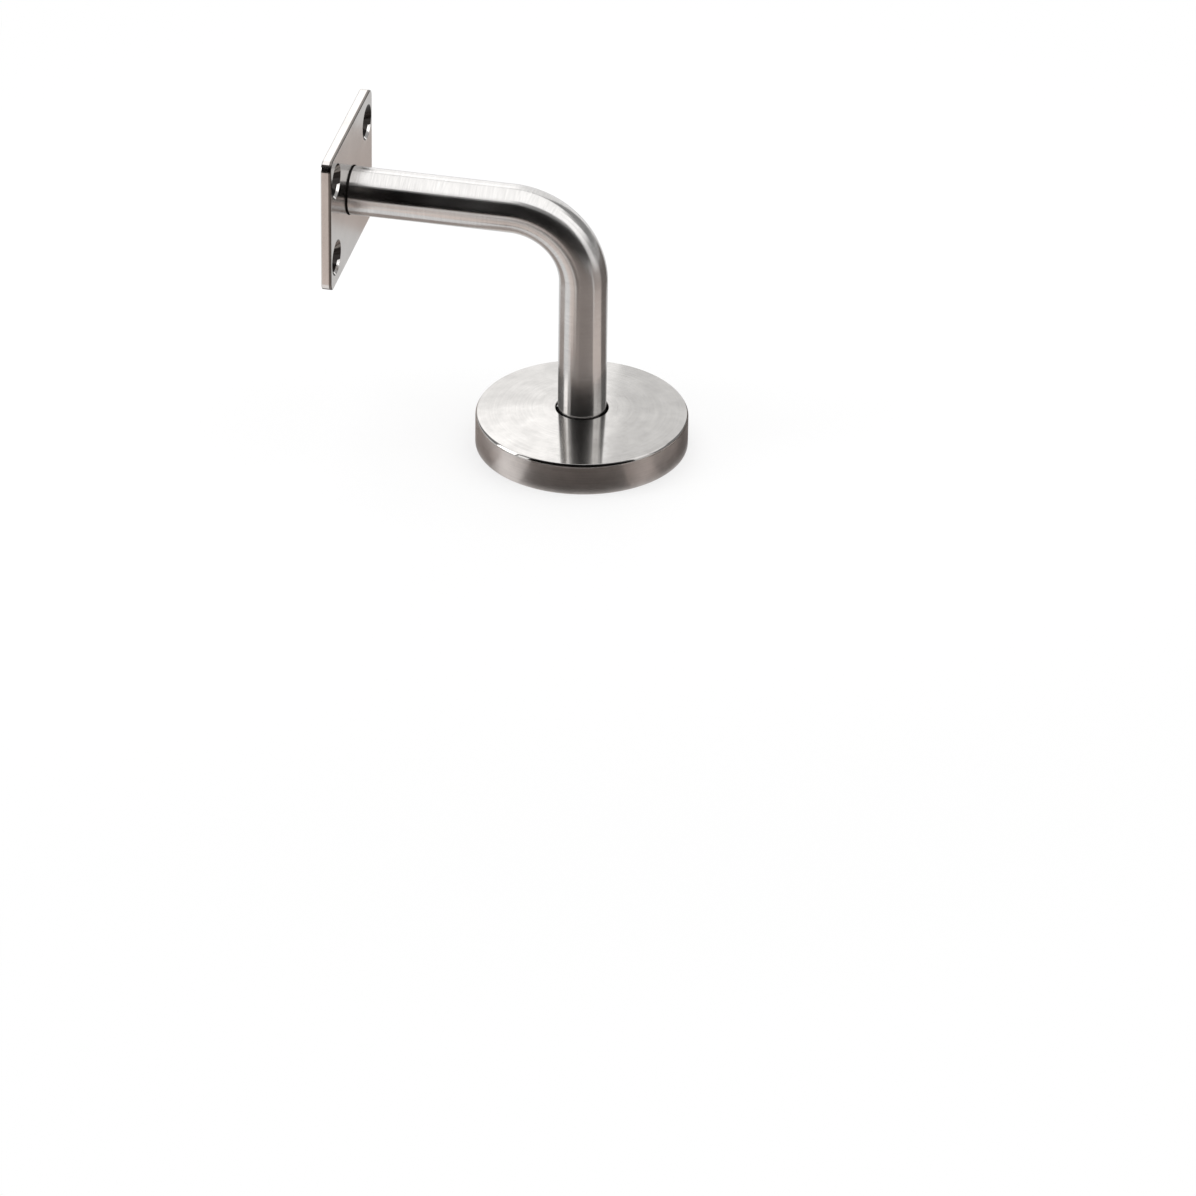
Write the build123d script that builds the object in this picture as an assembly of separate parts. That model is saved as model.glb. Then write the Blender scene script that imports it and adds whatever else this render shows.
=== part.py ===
# Handrail bracket for a wall: a round bar with one bend carries a flat saddle plate for the rail.
# The bar stands on a round flange that is screwed to the wall, and a turned cover hides the flange.
# All sizes are in millimetres.
# The origin is the centre of the flange's back face, which lies on the wall.
# +Z points away from the wall, along the bar's first leg. The bar turns towards -X.

import math
import os

from build123d import *

# Bar
arm_diameter = 16.0
arm_axis_height = 84.0
bend_radius = 24.0

# Saddle plate
rail_face_reach = 81.1
saddle_width = 56.0
saddle_height = 47.0
saddle_thickness = 3.5
saddle_corner_radius = 3.0
saddle_edge_round = 0.4

# Countersunk rail holes: the straight wall left under the countersink, and the metal outside it
rail_hole_diameter = 6.6
rail_hole_land = 0.8
rail_sink_margin_y = 1.0
rail_sink_margin_z = 3.5

# Cover
rose_diameter = 70.0
rose_rim_height = 11.0
rose_crown_rise = 2.1
rose_wall = 1.5
rose_edge_round = 0.5
rose_bore_clearance = 0.7
rose_bore_round = 0.3

# Wall flange
flange_thickness = 4.0
flange_clearance = 0.3
flange_edge_chamfer = 0.5

# Countersunk wall holes
wall_hole_count = 3
wall_hole_diameter = 6.6
wall_hole_land = 1.0
wall_sink_margin = 3.9

# Weld runs: how far each reaches over its plate and along the bar, and how far it bulges past a
# straight fillet. The run at the saddle plate is dressed almost flush with the bar.
saddle_weld_over_plate = 0.3
saddle_weld_along_arm = 0.5
flange_weld_over_plate = 2.5
flange_weld_along_arm = 2.5
weld_bulge_share = 0.12

# Half angle of every countersink
sink_half_angle = 45.0

# Sizes that follow from the ones above
arm_radius = arm_diameter / 2
saddle_inner_reach = rail_face_reach - saddle_thickness
rose_radius = rose_diameter / 2
rose_inner_radius = rose_radius - rose_wall
rose_bore_radius = arm_radius + rose_bore_clearance
crown_radius = (rose_radius**2 + rose_crown_rise**2) / (2 * rose_crown_rise)
crown_centre_height = rose_rim_height + rose_crown_rise - crown_radius
flange_radius = rose_inner_radius - flange_clearance


def sink_radius(hole_diameter, sink_depth):
    """Radius of a countersink where it opens at the plate's face."""
    return hole_diameter / 2 + sink_depth * math.tan(math.radians(sink_half_angle))


def countersunk_hole(hole_diameter, plate_thickness, land):
    """Cutter for one hole: a straight wall at z = 0, and the countersink open at the plate's top."""
    hole_radius = hole_diameter / 2
    sink_depth = plate_thickness - land
    mouth_radius = sink_radius(hole_diameter, sink_depth)
    to_centre = (Align.CENTER, Align.CENTER, Align.MIN)
    drilled = Cylinder(hole_radius, plate_thickness, align=to_centre)
    countersink = Pos(0, 0, land) * Cone(hole_radius, mouth_radius, sink_depth, align=to_centre)
    return drilled + countersink


def crown_height(radius, surface_radius):
    """Height of the cover's crown at a distance from its axis, for the outer or the inner surface."""
    return crown_centre_height + math.sqrt(surface_radius**2 - radius**2)


def make_bent_arm():
    """Solid bar from the flange's face, round the bend and on to the saddle plate."""
    route = FilletPolyline(
        (0, 0, flange_thickness),
        (0, 0, arm_axis_height),
        (-saddle_inner_reach, 0, arm_axis_height),
        radius=bend_radius,
    )
    section = Plane(origin=route @ 0, z_dir=route % 0) * Circle(arm_radius)
    return sweep(section, path=route)


def make_saddle_plate():
    """Flat plate with rounded corners, countersunk from the bar's side."""
    blank = extrude(RectangleRounded(saddle_width, saddle_height, saddle_corner_radius), saddle_thickness)
    face_edges = blank.faces().sort_by(Axis.Z)[-1].edges() + blank.faces().sort_by(Axis.Z)[0].edges()
    plate = fillet(face_edges, saddle_edge_round)
    mouth_radius = sink_radius(rail_hole_diameter, saddle_thickness - rail_hole_land)
    across = saddle_width - 2 * (rail_sink_margin_y + mouth_radius)
    upright = saddle_height - 2 * (rail_sink_margin_z + mouth_radius)
    hole = countersunk_hole(rail_hole_diameter, saddle_thickness, rail_hole_land)
    for place in GridLocations(across, upright, 2, 2):
        plate -= place * hole
    rail_face = Plane(origin=(-rail_face_reach, 0, arm_axis_height), x_dir=(0, 1, 0), z_dir=(1, 0, 0))
    return rail_face * plate


def make_wall_flange():
    """Round disc under the cover, with countersunk holes on one circle."""
    disc = Cylinder(flange_radius, flange_thickness, align=(Align.CENTER, Align.CENTER, Align.MIN))
    flange = chamfer(disc.edges().sort_by(Axis.Z)[-1], flange_edge_chamfer)
    mouth_radius = sink_radius(wall_hole_diameter, flange_thickness - wall_hole_land)
    circle_radius = flange_radius - wall_sink_margin - mouth_radius
    hole = countersunk_hole(wall_hole_diameter, flange_thickness, wall_hole_land)
    for place in PolarLocations(circle_radius, wall_hole_count):
        flange -= place * hole
    return flange


def make_cover_rose():
    """Turned cover: a straight rim, a low crown and a bore for the bar, with an even wall."""
    inner_crown = crown_radius - rose_wall
    outer_middle = (rose_radius + rose_bore_radius) / 2
    inner_middle = (rose_inner_radius + rose_bore_radius) / 2
    rim_foot_in = (rose_inner_radius, 0)
    rim_foot_out = (rose_radius, 0)
    rim_top = (rose_radius, rose_rim_height)
    bore_top = (rose_bore_radius, crown_height(rose_bore_radius, crown_radius))
    bore_foot = (rose_bore_radius, crown_height(rose_bore_radius, inner_crown))
    ceiling_end = (rose_inner_radius, crown_height(rose_inner_radius, inner_crown))
    crown_point = (outer_middle, crown_height(outer_middle, crown_radius))
    ceiling_point = (inner_middle, crown_height(inner_middle, inner_crown))
    outline = [
        Line(rim_foot_in, rim_foot_out),
        Line(rim_foot_out, rim_top),
        ThreePointArc(rim_top, crown_point, bore_top),
        Line(bore_top, bore_foot),
        ThreePointArc(bore_foot, ceiling_point, ceiling_end),
        Line(ceiling_end, rim_foot_in),
    ]
    section = Sketch() + make_face(Curve() + outline)
    section = fillet(section.vertices().sort_by_distance(rim_top)[0], rose_edge_round)
    section = fillet(section.vertices().sort_by_distance(bore_top)[0], rose_bore_round)
    return revolve(Plane.XZ * section, Axis.Z)


def make_weld_run(over_plate, along_arm):
    """Ring of weld in the corner between the bar and a plate: the plate's face is z = 0."""
    toe_on_plate = (arm_radius + over_plate, 0)
    toe_on_arm = (arm_radius, along_arm)
    crest_share = 0.5 + weld_bulge_share
    crest = (arm_radius + over_plate * crest_share, along_arm * crest_share)
    outline = [
        Line((arm_radius, 0), toe_on_plate),
        ThreePointArc(toe_on_plate, crest, toe_on_arm),
        Line(toe_on_arm, (arm_radius, 0)),
    ]
    section = Sketch() + make_face(Curve() + outline)
    return revolve(Plane.XZ * section, Axis.Z)


def make_flange_weld():
    """Weld run round the bar's foot, on the flange."""
    return Pos(0, 0, flange_thickness) * make_weld_run(flange_weld_over_plate, flange_weld_along_arm)


def make_saddle_weld():
    """Weld run round the bar's end, on the saddle plate."""
    face = Plane(origin=(-saddle_inner_reach, 0, arm_axis_height), x_dir=(0, 1, 0), z_dir=(1, 0, 0))
    return face * make_weld_run(saddle_weld_over_plate, saddle_weld_along_arm)


pieces = {
    "bent_arm": make_bent_arm(),
    "saddle_plate": make_saddle_plate(),
    "saddle_weld_bead": make_saddle_weld(),
    "wall_flange": make_wall_flange(),
    "flange_weld_bead": make_flange_weld(),
    "cover_rose": make_cover_rose(),
}

os.makedirs("parts", exist_ok=True)
for name, shape in pieces.items():
    export_step(shape, f"parts/{name}.step")
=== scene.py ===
"""Handrail bracket: surfaces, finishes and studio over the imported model. Lengths are in metres."""

import math

import bpy
import numpy as np
from mathutils import Matrix, Vector


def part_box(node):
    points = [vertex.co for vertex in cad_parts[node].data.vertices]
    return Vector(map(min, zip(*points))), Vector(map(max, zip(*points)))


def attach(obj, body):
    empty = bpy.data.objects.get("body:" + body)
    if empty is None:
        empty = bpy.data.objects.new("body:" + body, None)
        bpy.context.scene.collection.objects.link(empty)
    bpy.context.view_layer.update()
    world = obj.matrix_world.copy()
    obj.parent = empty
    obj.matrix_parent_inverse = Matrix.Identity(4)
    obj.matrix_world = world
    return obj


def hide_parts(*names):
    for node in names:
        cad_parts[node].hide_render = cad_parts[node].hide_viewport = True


bl_info = {
    "name": "Handrail bracket",
    "version": (1, 0, 0),
    "blender": (4, 5, 0),
    "location": "3D View > Sidebar > Bracket",
    "description": "Builds a stainless steel handrail bracket and the studio round it",
    "category": "Add Mesh",
}

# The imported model: sizes that the CAD fixes are read from it
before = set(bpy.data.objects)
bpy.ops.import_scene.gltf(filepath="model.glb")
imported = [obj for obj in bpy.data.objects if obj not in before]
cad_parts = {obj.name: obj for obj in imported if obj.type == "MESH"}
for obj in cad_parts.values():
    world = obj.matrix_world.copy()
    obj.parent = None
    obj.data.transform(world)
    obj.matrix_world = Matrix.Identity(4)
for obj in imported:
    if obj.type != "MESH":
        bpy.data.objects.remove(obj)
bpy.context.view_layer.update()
bar_low, bar_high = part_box("bent_arm")
cover_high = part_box("cover_rose")[1]
plate_low, plate_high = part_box("saddle_plate")
saddle_weld_low, saddle_weld_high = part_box("saddle_weld_bead")
flange_weld_low, flange_weld_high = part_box("flange_weld_bead")

FULL_TURN = 2 * math.pi
# Cards on the floor, seen in the metal: name, from and to in degrees from the camera, near and far
# distance, brightness
CARDS = (
    ("front_near_card", -37.0, 29.0, 0.0362, 0.052, 0.12),
    ("right_near_card", 29.0, 52.0, 0.0362, 0.052, 0.6),
    ("right_back_near_card", 52.0, 150.0, 0.0362, 0.052, 0.2),
    ("left_back_near_card", -150.0, -116.0, 0.0362, 0.052, 0.85),
    ("left_near_card", -116.0, -60.0, 0.0362, 0.052, 0.55),
    ("front_left_card", -56.0, -30.0, 0.053, 0.072, 0.3),
    ("front_middle_card", -30.0, -17.0, 0.053, 0.12, 0.43),
    ("front_card", -17.0, 47.0, 0.053, 0.072, 0.36),
    ("front_wide_card", -17.0, 47.0, 0.072, 0.12, 0.34),
    ("front_left_outer_card", -66.0, -44.0, 0.072, 0.12, 0.93),
    ("front_left_wide_card", -44.0, -30.0, 0.072, 0.12, 0.62),
    ("front_outer_card", -18.0, 45.0, 0.12, 0.2, 0.34),
    ("front_left_far_card", -27.0, -12.0, 0.2, 0.37, 0.72),
    ("front_far_card", -12.0, 48.0, 0.2, 0.37, 0.26),
    ("mirror_card", -31.0, -18.0, 0.12, 0.2, 0.1),
    ("right_card", 47.0, 92.0, 0.053, 0.11, 0.8),
    ("right_back_card", 92.0, 136.0, 0.053, 0.11, 0.24),
    ("right_mid_card", 50.0, 90.0, 0.11, 0.5, 0.4),
    ("right_far_card", 90.0, 142.0, 0.11, 1.0, 0.18),
    ("left_back_card", -134.0, -94.0, 0.053, 0.125, 0.46),
    ("left_outer_card", -56.0, -38.0, 0.125, 0.3, 0.72),
    ("back_card", -185.0, -155.0, 0.132, 0.2, 0.68),
)
# Side lamps: name, direction in degrees from the camera, degrees across, lower and upper edge
SIDE_LAMPS = (
    ("left_low_lamp", -82.0, 24.0, 0.0, 0.42),
    ("left_high_lamp", -82.5, 22.0, 0.42, 1.1),
    ("left_outer_low_lamp", -61.0, 12.0, 0.0, 0.42),
    ("left_outer_high_lamp", -61.0, 12.0, 0.42, 1.1),
    ("right_low_lamp", 67.0, 23.0, 0.0, 0.4),
    ("right_high_lamp", 68.0, 21.0, 0.4, 1.1),
    ("right_back_lamp", 91.0, 22.0, 0.4, 1.1),
)
# Lamps overhead: name, from and to along X, front along Y
CEILING_LAMPS = (
    ("ceiling_left_lamp", -0.9, -0.1, -0.65),
    ("ceiling_right_lamp", -0.1, 0.9, -0.45),
)
# Lamps behind the bracket: name, from and to along X, lower and upper edge
BACK_LAMPS = (
    ("back_outer_lamp", -0.88, -0.64, 0.03, 1.25),
    ("back_left_lamp", -0.64, -0.18, 0.03, 0.65),
    ("back_left_high_lamp", -0.64, -0.18, 0.65, 1.25),
    ("back_right_lamp", -0.18, 0.45, 0.03, 1.25),
)
# Height and rear edge of the lamps overhead, and how far behind and beside the bracket the others stand
CEILING_HEIGHT = 1.0
CEILING_BACK = 0.8
BACK_LAMPS_Y = 1.1
SIDE_LAMPS_DISTANCE = 1.0
# Black cloth on the floor before the bracket, as X and Y of its corners, and the flag, an upright black
# sheet on the cloth's edge towards the camera. Only the metal shows them
STAGE_SIDE = 3.0
FLAG_Y = -1.2
FLAG_HEIGHT = 1.42
CLOTH_GREY = 0.008
CLOTH_CORNERS = (
    (-STAGE_SIDE, -0.24),
    (-0.12, -0.24),
    (-0.075, -0.36),
    (STAGE_SIDE, -0.36),
    (STAGE_SIDE, FLAG_Y),
    (-STAGE_SIDE, FLAG_Y),
)
# Heights that keep the floor, the cloth and the cards apart
FLOOR_HEIGHT = -0.0001
CLOTH_HEIGHT = 0.0001
CARD_HEIGHT = 0.0002
# Distances between the saddle plate's holes, along Y and upwards, and their places as Y and height
HOLES_ACROSS = 0.042
HOLES_UPWARDS = 0.028
plate_middle = (plate_low + plate_high) / 2
SINK_PLACES = tuple(
    (plate_middle.y + side * HOLES_ACROSS / 2, plate_middle.z + upper * HOLES_UPWARDS / 2)
    for side in (-1, 1)
    for upper in (-1, 1)
)
# A countersink fits in a square of twice its reach. The near ones are painted lighter, as painted light,
# from a little above their middle on. The painted highlight on each rim starts just before the middle along
# Y, lies at least the glint's depth below it, and is farther out than the glint's radius
SINK_REACH = 0.0061
SINK_TOP_START = 0.0008
GLINT_START = 0.001
GLINT_DEPTH = 0.0032
GLINT_RADIUS = 0.0052
# Width of the band of painted dark reflection on the saddle plate's edges, and how far it stays below the
# plate's face
EDGE_BAND = 0.0009
EDGE_BAND_MARGIN = 0.00002
# A distance that is past the whole part
FAR = 1.0
# The almost flat part of the cover's broken edge, as angles above level
EDGE_FLAT_FROM = math.radians(14.0)
EDGE_FLAT_TO = math.radians(42.0)
# Radius of the circle on which the marks attribute goes round a turned piece
MARKS_CIRCLE = 0.02
# Names of the attribute for tool marks and of the unrolled map
MARKS = "marks"
UNROLLED = "unrolled"


# Sizes and colours that a user would change


def length(name, description, default):
    """Property for a length."""
    return bpy.props.FloatProperty(
        name=name, description=description, default=default, min=0.0, precision=5, unit="LENGTH"
    )


def share(name, description, default):
    """Property for a plain number between nought and one."""
    return bpy.props.FloatProperty(
        name=name, description=description, default=default, min=0.0, max=1.0, subtype="FACTOR"
    )


def level(name, description, default):
    """Property for a brightness, where 1 is white."""
    return bpy.props.FloatProperty(name=name, description=description, default=default, min=0.0)


def count(name, description, default):
    """Property for a number of like things."""
    return bpy.props.IntProperty(name=name, description=description, default=default, min=3)


def colour(name, description, default):
    """Property for a colour."""
    return bpy.props.FloatVectorProperty(
        name=name, description=description, default=default, min=0.0, max=1.0, size=3, subtype="COLOR"
    )


class BarSizes(bpy.types.PropertyGroup):
    """Bent bar."""

    radius: length("Bar radius", "Half the bar's diameter", bar_high.x)
    foot: length("Foot height", "Height of the bar's lower end, on the flange", bar_low.z)
    axis_height: length("Axis height", "Height of the bar's level leg's axis", bar_high.z - bar_high.x)
    reach: length("Reach", "Distance from the upright leg's axis to the saddle plate", -bar_low.x)
    bend_radius: length("Bend radius", "Radius of the bar's axis in the bend", 0.024)
    end_round: length("End round", "Rounding of the bar's two ends", 0.0003)
    rings: count("Rings along the bar", "Rows of faces along the bar", 260)
    sides: count("Sides round the bar", "Faces round the bar", 128)


class CoverSizes(bpy.types.PropertyGroup):
    """Turned cover."""

    radius: length("Cover radius", "Half the cover's diameter", cover_high.x)
    rim_height: length("Rim height", "Height of the straight rim before its edge is rounded", 0.011)
    crown_rise: length("Crown rise", "How far the crown would rise above the rim at its centre", 0.0021)
    wall: length("Wall", "Thickness of the cover's wall", 0.0015)
    bore_clearance: length("Bore clearance", "Gap between the bar and the cover's bore", 0.0007)
    edge_round: length("Edge round", "Radius on both sides of the rim's broken edge", 0.00012)
    edge_flat: length("Edge flat", "Radius of the almost flat middle of the rim's broken edge", 0.0021)
    bore_round: length("Bore round", "Rounding of the bore's upper edge", 0.0003)
    foot_round: length("Foot round", "Rounding of the rim's foot and of the corners inside", 0.0002)
    sides: count("Sides round the cover", "Faces round the cover", 256)


class WeldSizes(bpy.types.PropertyGroup):
    """Weld runs."""

    bulge_share: share("Bulge", "How far the run bulges past a straight fillet, as a share of each leg", 0.12)
    ripple_pitch: length("Ripple pitch", "Distance between two ripples of the run", 0.0012)
    ripple_share: share("Ripple", "Depth of the valleys between ripples, as a share of each leg", 0.03)
    wander_share: share("Wander", "How far the run's height wanders going round, as a share of a leg", 0.02)
    crescent: level("Crescent", "How far the middle of a ripple runs ahead of its ends", 5.0)
    sides: count("Sides round the run", "Faces round each run", 480)


class Finishes(bpy.types.PropertyGroup):
    """Colours and smoothness of the steel."""

    bar_colour: colour("Bar", "Colour of the polished bar", (0.61, 0.598, 0.588))
    crown_colour: colour("Crown", "Colour of the cover's turned crown", (0.505, 0.492, 0.478))
    rim_colour: colour("Rim", "Colour of the cover's brushed rim", (0.50, 0.463, 0.443))
    plate_colour: colour("Plate", "Colour of the satin saddle plate", (0.64, 0.612, 0.592))
    weld_colour: colour("Flange weld", "Colour of the weld at the flange", (0.30, 0.275, 0.25))
    # Painted shade: the saddle weld's near-black colour stands in for the shadow in its joint
    joint_shade_colour: colour("Saddle weld", "Colour of the dark weld at the saddle plate", (0.012, 0.011, 0.01))
    # Painted shade and dark reflection: the dark colour painted into the countersinks and holes
    sink_shade_colour: colour("Countersinks", "Colour of the plate's countersinks", (0.04, 0.036, 0.034))
    # Painted light: the lighter colour painted on the near countersinks' upper part
    sink_top_light_colour: colour("Countersinks' top", "Colour of the near ones' upper part", (0.25, 0.23, 0.215))
    # Painted highlight: the bright crescent painted on each countersink's rim
    sink_glint_highlight_colour: colour("Countersinks' rim", "Colour of the bright part of each rim", (0.95, 0.92, 0.9))
    # Painted dark reflection: the darker colour painted on a band of the plate's edges
    edge_shade_colour: colour("Plate edges", "Colour of the plate's edges on the bar's side", (0.16, 0.145, 0.135))
    flange_colour: colour("Flange", "Colour of the plain flange", (0.40, 0.385, 0.37))
    grazing_share: share("Grazing reflection", "Share of the reflection that is left at a flat angle", 0.78)
    plate_grazing_share: share("Plate's grazing reflection", "The same share for the satin plate", 0.66)
    bar_roughness: share("Bar roughness", "Roughness of the polished bar", 0.2)
    crown_roughness: share("Crown roughness", "Roughness of the turned crown", 0.105)
    rim_roughness: share("Rim roughness", "Roughness of the brushed rim", 0.4)
    plate_roughness: share("Plate roughness", "Roughness of the saddle plate", 0.16)


class StudioSizes(bpy.types.PropertyGroup):
    """Camera, floor and lamps."""

    azimuth: bpy.props.FloatProperty(name="Azimuth", description="Camera's turn from -Y towards +X",
                                     default=math.radians(12.004), subtype="ANGLE")
    elevation: bpy.props.FloatProperty(name="Elevation", description="Camera's height angle",
                                       default=math.radians(30.968), subtype="ANGLE")
    roll: bpy.props.FloatProperty(name="Roll", description="Camera's turn about its own view line",
                                  default=math.radians(0.765), subtype="ANGLE")
    distance: length("Distance", "From the camera to the point that it looks at", 3.0)
    target_x: bpy.props.FloatProperty(name="Target x", description="X of the point that the camera looks at",
                                      default=0.006231, unit="LENGTH")
    target_z: bpy.props.FloatProperty(name="Target z", description="Z of the point that the camera looks at",
                                      default=-0.059413, unit="LENGTH")
    focal_length: bpy.props.FloatProperty(name="Focal length", description="Lens in millimetres",
                                          default=271.70)
    floor_colour: colour("Floor", "Colour of the floor", (0.97, 0.97, 0.97))
    floor_size: length("Floor size", "Side of the square floor", 24.0)
    shadow_share: share("Shadow share", "Share of the floor's own shading near the bracket", 0.35)
    shadow_reach: length("Shadow reach", "Distance from the bracket up to which the shadow is kept", 0.12)
    ceiling_level: level("Ceiling lamps", "Brightness of the lamps overhead", 1.28)
    back_left_level: level("Back left lamp", "Brightness of the lamp behind the bracket on the left", 1.35)
    back_left_high_level: level("Back left high lamp", "Brightness of the lamp above it", 1.62)
    back_outer_level: level("Back outer lamp", "Brightness of the lamp farthest to the left", 0.6)
    back_right_level: level("Back right lamp", "Brightness of the lamp behind the bracket on the right", 0.85)
    left_low_level: level("Left low lamp", "Brightness of the lamp on the left, low down", 4.0)
    left_high_level: level("Left high lamp", "Brightness of the lamp above it", 2.0)
    left_outer_low_level: level("Left outer low lamp", "Brightness of the lamp nearer the camera", 1.6)
    left_outer_high_level: level("Left outer high lamp", "Brightness of the lamp above that one", 0.25)
    right_low_level: level("Right low lamp", "Brightness of the lamp on the right, low down", 0.5)
    right_high_level: level("Right high lamp", "Brightness of the lamp above it", 1.3)
    right_back_level: level("Right back lamp", "Brightness of the lamp farther back", 1.2)
    sky_level: level("Surroundings", "Brightness of the rest of the room", 0.3)


class BracketSettings(bpy.types.PropertyGroup):
    """All of the bracket's settings."""

    bar: bpy.props.PointerProperty(type=BarSizes)
    cover: bpy.props.PointerProperty(type=CoverSizes)
    weld: bpy.props.PointerProperty(type=WeldSizes)
    finish: bpy.props.PointerProperty(type=Finishes)
    studio: bpy.props.PointerProperty(type=StudioSizes)


# Surfaces on a grid


def eased(start, end, steps):
    """Values from start to end that lie closest together at both ends: the mean of the two, less half
    their difference times the cosine of an angle that goes evenly from 0 to 180 degrees."""
    angle = np.linspace(0.0, math.pi, steps + 1)
    return (start + end) / 2 - (end - start) / 2 * np.cos(angle)


def travelled(outline):
    """Distance along a line of points from its first point to each point."""
    return np.concatenate([[0.0], np.cumsum(np.linalg.norm(np.diff(outline, axis=0), axis=1))])


def closed_faces(rows, sides, rings_close):
    """Corner numbers of the quads between neighbouring rings. Vertex (row, side) has the number
    row * sides + side, the sides wrap round, and the rows do where rings_close is set."""
    row = np.arange(rows if rings_close else rows - 1)[:, None]
    side = np.arange(sides)[None, :]
    next_row = (row + 1) % rows
    next_side = (side + 1) % sides
    start, after = row * sides, next_row * sides
    corners = [start + side, start + next_side, after + next_side, after + side]
    return np.stack(corners, axis=-1).reshape(-1, 4)


def swept_mesh(name, points, along, turn, marks, rings_close):
    """Mesh of a grid of points, rows by sides. Each row is a closed ring. Where the rows don't close,
    the first and the last ring each get a middle point, so that the ends are shut. The unrolled map
    holds the distance along the rows and the share of the turn, and the marks attribute holds the
    coordinates that the tool marks follow. The corners are put in the order that gives a positive
    volume, so that all faces point outwards."""
    rows, sides = points.shape[:2]
    vertices = points.reshape(-1, 3)
    marks = marks.reshape(-1, 3)
    quads = closed_faces(rows, sides, rings_close)
    spare_row = np.append(along[1:], 2 * along[-1] - along[-2])
    spare_turn = np.append(turn[1:], 1.0)
    low_along, low_turn = np.meshgrid(along, turn, indexing="ij")
    high_along, high_turn = np.meshgrid(spare_row, spare_turn, indexing="ij")
    used = rows if rings_close else rows - 1
    corner_along = np.stack([low_along, low_along, high_along, high_along], axis=-1)[:used].reshape(-1, 4)
    corner_turn = np.stack([low_turn, high_turn, high_turn, low_turn], axis=-1)[:used].reshape(-1, 4)
    first, second, third, fourth = (vertices[quads[:, corner]] for corner in range(4))
    volume = np.einsum("ij,ij->", np.cross(first, second), third)
    volume += np.einsum("ij,ij->", np.cross(first, third), fourth)
    if volume < 0:
        quads = quads[:, ::-1]
        corner_along = corner_along[:, ::-1]
        corner_turn = corner_turn[:, ::-1]
    faces = quads.tolist()
    maps = np.stack([corner_along, corner_turn], axis=-1).reshape(-1, 2)
    if not rings_close:
        vertices, marks, caps, cap_maps = shut_ends(points, marks, along, turn, volume < 0)
        faces += caps.tolist()
        maps = np.concatenate([maps, cap_maps])
    mesh = bpy.data.meshes.new(name)
    mesh.from_pydata(vertices.tolist(), [], faces)
    unrolled = mesh.uv_layers.new(name=UNROLLED)
    unrolled.data.foreach_set("uv", maps.astype(np.float32).ravel())
    attribute = mesh.attributes.new(MARKS, "FLOAT_VECTOR", "POINT")
    attribute.data.foreach_set("vector", marks.astype(np.float32).ravel())
    mesh.shade_smooth()
    if mesh.validate():
        raise RuntimeError(f"{name} has faces that can't be used")
    return mesh


def shut_ends(points, marks, along, turn, turned):
    """Triangles from the first and the last ring to a point at the middle of each."""
    rows, sides = points.shape[:2]
    middles = points[[0, -1]].mean(axis=1)
    vertices = np.concatenate([points.reshape(-1, 3), middles])
    marks = np.concatenate([marks, marks.reshape(rows, sides, 3)[[0, -1]].mean(axis=1)])
    side = np.arange(sides)
    next_side = (side + 1) % sides
    first = np.stack([next_side, side, np.full(sides, rows * sides)], axis=-1)
    last = np.stack([side, next_side, np.full(sides, rows * sides + 1)], axis=-1)
    last[:, :2] += (rows - 1) * sides
    caps = np.concatenate([first, last])
    end_along = np.repeat([along[0], along[-1]], sides)
    end_turn = np.tile(turn, 2)
    cap_maps = np.stack([np.stack([end_along, end_turn], axis=-1)] * 3, axis=1)
    if turned:
        caps = caps[:, ::-1]
    return vertices, marks, caps, cap_maps.reshape(-1, 2)


def turned_grid(outline, sides):
    """Closed outline carried round the Z axis: a point at radius r and height z becomes
    (r cos a, r sin a, z) for each angle a. Also gives the distance along the outline, the share of the
    turn, and the marks' coordinates: distance along the outline, and a place on a fixed circle."""
    turn = np.arange(sides) / sides
    angle = FULL_TURN * turn
    radius = outline[:, 0][:, None]
    height = np.repeat(outline[:, 1][:, None], sides, axis=1)
    points = np.stack([radius * np.cos(angle), radius * np.sin(angle), height], axis=-1)
    along = travelled(outline)
    circle = MARKS_CIRCLE * np.stack([np.cos(angle), np.sin(angle)], axis=-1)
    marks = np.concatenate(
        [np.repeat(along[:, None, None], sides, axis=1), np.repeat(circle[None], len(along), axis=0)], axis=-1
    )
    return points, along, turn, marks


def add_piece(mesh, body, slot, material, *nodes):
    """Object for a finished mesh, which stands for the given CAD nodes and moves with their body."""
    piece = bpy.data.objects.new(mesh.name, mesh)
    bpy.context.scene.collection.objects.link(piece)
    mesh.materials.append(material)
    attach(piece, body)
    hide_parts(*nodes)
    return piece


# Shapes


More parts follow.
